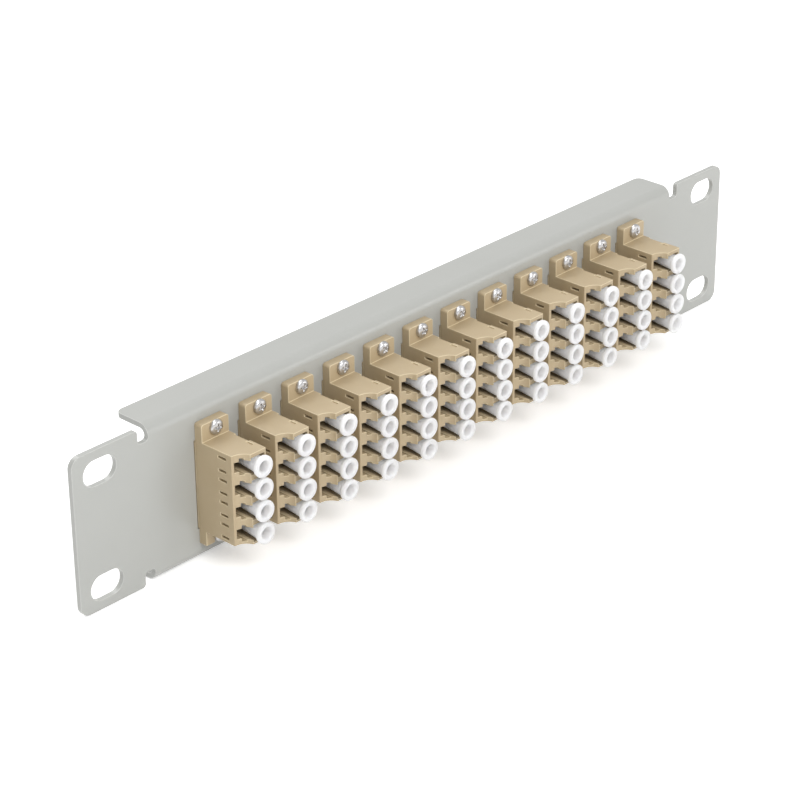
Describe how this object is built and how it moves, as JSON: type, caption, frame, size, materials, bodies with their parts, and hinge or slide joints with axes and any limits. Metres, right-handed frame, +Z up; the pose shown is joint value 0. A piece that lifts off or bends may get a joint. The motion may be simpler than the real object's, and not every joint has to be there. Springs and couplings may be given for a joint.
{
  "type": "fibre patch panel",
  "caption": "Rack fibre patch panel: a folded steel plate with slotted ears carries a row of upright multi-port adapters, each held by screws and closed by pull-out dust plugs.",
  "frame": {"origin": "centre of the four rack slots, on the rear face of the plate that meets the rack rails", "axes": "+X along the panel (to the right seen from the front), -Y out of the front where the ports face, +Z up"},
  "size_m": [0.254, 0.0358, 0.044],
  "materials": {
    "panel_paint": "fine-textured light grey powder coat",
    "adapter_plastic": "moulded beige plastic",
    "plug_plastic": "soft white plastic",
    "sleeve_ceramic": "polished white ceramic",
    "screw_steel": "nickel-plated steel"
  },
  "bodies": {
    "root": {"panel": "panel_paint", "adapter_front_shells": "adapter_plastic", "adapter_rear_shells": "adapter_plastic", "alignment_sleeves": "sleeve_ceramic", "adapter_screws": "screw_steel", "adapter_nuts": "screw_steel", "rear_dust_plugs": "plug_plastic"},
    "plug_01_1": {"dust_plug_01_1": "plug_plastic"},
    "plug_01_2": {"dust_plug_01_2": "plug_plastic"},
    "plug_01_3": {"dust_plug_01_3": "plug_plastic"},
    "plug_01_4": {"dust_plug_01_4": "plug_plastic"},
    "plug_02_1": {"dust_plug_02_1": "plug_plastic"},
    "plug_02_2": {"dust_plug_02_2": "plug_plastic"},
    "plug_02_3": {"dust_plug_02_3": "plug_plastic"},
    "plug_02_4": {"dust_plug_02_4": "plug_plastic"},
    "plug_03_1": {"dust_plug_03_1": "plug_plastic"},
    "plug_03_2": {"dust_plug_03_2": "plug_plastic"},
    "plug_03_3": {"dust_plug_03_3": "plug_plastic"},
    "plug_03_4": {"dust_plug_03_4": "plug_plastic"},
    "plug_04_1": {"dust_plug_04_1": "plug_plastic"},
    "plug_04_2": {"dust_plug_04_2": "plug_plastic"},
    "plug_04_3": {"dust_plug_04_3": "plug_plastic"},
    "plug_04_4": {"dust_plug_04_4": "plug_plastic"},
    "plug_05_1": {"dust_plug_05_1": "plug_plastic"},
    "plug_05_2": {"dust_plug_05_2": "plug_plastic"},
    "plug_05_3": {"dust_plug_05_3": "plug_plastic"},
    "plug_05_4": {"dust_plug_05_4": "plug_plastic"},
    "plug_06_1": {"dust_plug_06_1": "plug_plastic"},
    "plug_06_2": {"dust_plug_06_2": "plug_plastic"},
    "plug_06_3": {"dust_plug_06_3": "plug_plastic"},
    "plug_06_4": {"dust_plug_06_4": "plug_plastic"},
    "plug_07_1": {"dust_plug_07_1": "plug_plastic"},
    "plug_07_2": {"dust_plug_07_2": "plug_plastic"},
    "plug_07_3": {"dust_plug_07_3": "plug_plastic"},
    "plug_07_4": {"dust_plug_07_4": "plug_plastic"},
    "plug_08_1": {"dust_plug_08_1": "plug_plastic"},
    "plug_08_2": {"dust_plug_08_2": "plug_plastic"},
    "plug_08_3": {"dust_plug_08_3": "plug_plastic"},
    "plug_08_4": {"dust_plug_08_4": "plug_plastic"},
    "plug_09_1": {"dust_plug_09_1": "plug_plastic"},
    "plug_09_2": {"dust_plug_09_2": "plug_plastic"},
    "plug_09_3": {"dust_plug_09_3": "plug_plastic"},
    "plug_09_4": {"dust_plug_09_4": "plug_plastic"},
    "plug_10_1": {"dust_plug_10_1": "plug_plastic"},
    "plug_10_2": {"dust_plug_10_2": "plug_plastic"},
    "plug_10_3": {"dust_plug_10_3": "plug_plastic"},
    "plug_10_4": {"dust_plug_10_4": "plug_plastic"},
    "plug_11_1": {"dust_plug_11_1": "plug_plastic"},
    "plug_11_2": {"dust_plug_11_2": "plug_plastic"},
    "plug_11_3": {"dust_plug_11_3": "plug_plastic"},
    "plug_11_4": {"dust_plug_11_4": "plug_plastic"},
    "plug_12_1": {"dust_plug_12_1": "plug_plastic"},
    "plug_12_2": {"dust_plug_12_2": "plug_plastic"},
    "plug_12_3": {"dust_plug_12_3": "plug_plastic"},
    "plug_12_4": {"dust_plug_12_4": "plug_plastic"}
  },
  "joints": [
    {"name": "pull_01_1", "type": "slide", "parent": "root", "child": "plug_01_1", "axis": [0, -1, 0], "range_m": [0, 0.015]},
    {"name": "pull_01_2", "type": "slide", "parent": "root", "child": "plug_01_2", "axis": [0, -1, 0], "range_m": [0, 0.015]},
    {"name": "pull_01_3", "type": "slide", "parent": "root", "child": "plug_01_3", "axis": [0, -1, 0], "range_m": [0, 0.015]},
    {"name": "pull_01_4", "type": "slide", "parent": "root", "child": "plug_01_4", "axis": [0, -1, 0], "range_m": [0, 0.015]},
    {"name": "pull_02_1", "type": "slide", "parent": "root", "child": "plug_02_1", "axis": [0, -1, 0], "range_m": [0, 0.015]},
    {"name": "pull_02_2", "type": "slide", "parent": "root", "child": "plug_02_2", "axis": [0, -1, 0], "range_m": [0, 0.015]},
    {"name": "pull_02_3", "type": "slide", "parent": "root", "child": "plug_02_3", "axis": [0, -1, 0], "range_m": [0, 0.015]},
    {"name": "pull_02_4", "type": "slide", "parent": "root", "child": "plug_02_4", "axis": [0, -1, 0], "range_m": [0, 0.015]},
    {"name": "pull_03_1", "type": "slide", "parent": "root", "child": "plug_03_1", "axis": [0, -1, 0], "range_m": [0, 0.015]},
    {"name": "pull_03_2", "type": "slide", "parent": "root", "child": "plug_03_2", "axis": [0, -1, 0], "range_m": [0, 0.015]},
    {"name": "pull_03_3", "type": "slide", "parent": "root", "child": "plug_03_3", "axis": [0, -1, 0], "range_m": [0, 0.015]},
    {"name": "pull_03_4", "type": "slide", "parent": "root", "child": "plug_03_4", "axis": [0, -1, 0], "range_m": [0, 0.015]},
    {"name": "pull_04_1", "type": "slide", "parent": "root", "child": "plug_04_1", "axis": [0, -1, 0], "range_m": [0, 0.015]},
    {"name": "pull_04_2", "type": "slide", "parent": "root", "child": "plug_04_2", "axis": [0, -1, 0], "range_m": [0, 0.015]},
    {"name": "pull_04_3", "type": "slide", "parent": "root", "child": "plug_04_3", "axis": [0, -1, 0], "range_m": [0, 0.015]},
    {"name": "pull_04_4", "type": "slide", "parent": "root", "child": "plug_04_4", "axis": [0, -1, 0], "range_m": [0, 0.015]},
    {"name": "pull_05_1", "type": "slide", "parent": "root", "child": "plug_05_1", "axis": [0, -1, 0], "range_m": [0, 0.015]},
    {"name": "pull_05_2", "type": "slide", "parent": "root", "child": "plug_05_2", "axis": [0, -1, 0], "range_m": [0, 0.015]},
    {"name": "pull_05_3", "type": "slide", "parent": "root", "child": "plug_05_3", "axis": [0, -1, 0], "range_m": [0, 0.015]},
    {"name": "pull_05_4", "type": "slide", "parent": "root", "child": "plug_05_4", "axis": [0, -1, 0], "range_m": [0, 0.015]},
    {"name": "pull_06_1", "type": "slide", "parent": "root", "child": "plug_06_1", "axis": [0, -1, 0], "range_m": [0, 0.015]},
    {"name": "pull_06_2", "type": "slide", "parent": "root", "child": "plug_06_2", "axis": [0, -1, 0], "range_m": [0, 0.015]},
    {"name": "pull_06_3", "type": "slide", "parent": "root", "child": "plug_06_3", "axis": [0, -1, 0], "range_m": [0, 0.015]},
    {"name": "pull_06_4", "type": "slide", "parent": "root", "child": "plug_06_4", "axis": [0, -1, 0], "range_m": [0, 0.015]},
    {"name": "pull_07_1", "type": "slide", "parent": "root", "child": "plug_07_1", "axis": [0, -1, 0], "range_m": [0, 0.015]},
    {"name": "pull_07_2", "type": "slide", "parent": "root", "child": "plug_07_2", "axis": [0, -1, 0], "range_m": [0, 0.015]},
    {"name": "pull_07_3", "type": "slide", "parent": "root", "child": "plug_07_3", "axis": [0, -1, 0], "range_m": [0, 0.015]},
    {"name": "pull_07_4", "type": "slide", "parent": "root", "child": "plug_07_4", "axis": [0, -1, 0], "range_m": [0, 0.015]},
    {"name": "pull_08_1", "type": "slide", "parent": "root", "child": "plug_08_1", "axis": [0, -1, 0], "range_m": [0, 0.015]},
    {"name": "pull_08_2", "type": "slide", "parent": "root", "child": "plug_08_2", "axis": [0, -1, 0], "range_m": [0, 0.015]},
    {"name": "pull_08_3", "type": "slide", "parent": "root", "child": "plug_08_3", "axis": [0, -1, 0], "range_m": [0, 0.015]},
    {"name": "pull_08_4", "type": "slide", "parent": "root", "child": "plug_08_4", "axis": [0, -1, 0], "range_m": [0, 0.015]},
    {"name": "pull_09_1", "type": "slide", "parent": "root", "child": "plug_09_1", "axis": [0, -1, 0], "range_m": [0, 0.015]},
    {"name": "pull_09_2", "type": "slide", "parent": "root", "child": "plug_09_2", "axis": [0, -1, 0], "range_m": [0, 0.015]},
    {"name": "pull_09_3", "type": "slide", "parent": "root", "child": "plug_09_3", "axis": [0, -1, 0], "range_m": [0, 0.015]},
    {"name": "pull_09_4", "type": "slide", "parent": "root", "child": "plug_09_4", "axis": [0, -1, 0], "range_m": [0, 0.015]},
    {"name": "pull_10_1", "type": "slide", "parent": "root", "child": "plug_10_1", "axis": [0, -1, 0], "range_m": [0, 0.015]},
    {"name": "pull_10_2", "type": "slide", "parent": "root", "child": "plug_10_2", "axis": [0, -1, 0], "range_m": [0, 0.015]},
    {"name": "pull_10_3", "type": "slide", "parent": "root", "child": "plug_10_3", "axis": [0, -1, 0], "range_m": [0, 0.015]},
    {"name": "pull_10_4", "type": "slide", "parent": "root", "child": "plug_10_4", "axis": [0, -1, 0], "range_m": [0, 0.015]},
    {"name": "pull_11_1", "type": "slide", "parent": "root", "child": "plug_11_1", "axis": [0, -1, 0], "range_m": [0, 0.015]},
    {"name": "pull_11_2", "type": "slide", "parent": "root", "child": "plug_11_2", "axis": [0, -1, 0], "range_m": [0, 0.015]},
    {"name": "pull_11_3", "type": "slide", "parent": "root", "child": "plug_11_3", "axis": [0, -1, 0], "range_m": [0, 0.015]},
    {"name": "pull_11_4", "type": "slide", "parent": "root", "child": "plug_11_4", "axis": [0, -1, 0], "range_m": [0, 0.015]},
    {"name": "pull_12_1", "type": "slide", "parent": "root", "child": "plug_12_1", "axis": [0, -1, 0], "range_m": [0, 0.015]},
    {"name": "pull_12_2", "type": "slide", "parent": "root", "child": "plug_12_2", "axis": [0, -1, 0], "range_m": [0, 0.015]},
    {"name": "pull_12_3", "type": "slide", "parent": "root", "child": "plug_12_3", "axis": [0, -1, 0], "range_m": [0, 0.015]},
    {"name": "pull_12_4", "type": "slide", "parent": "root", "child": "plug_12_4", "axis": [0, -1, 0], "range_m": [0, 0.015]}
  ]
}
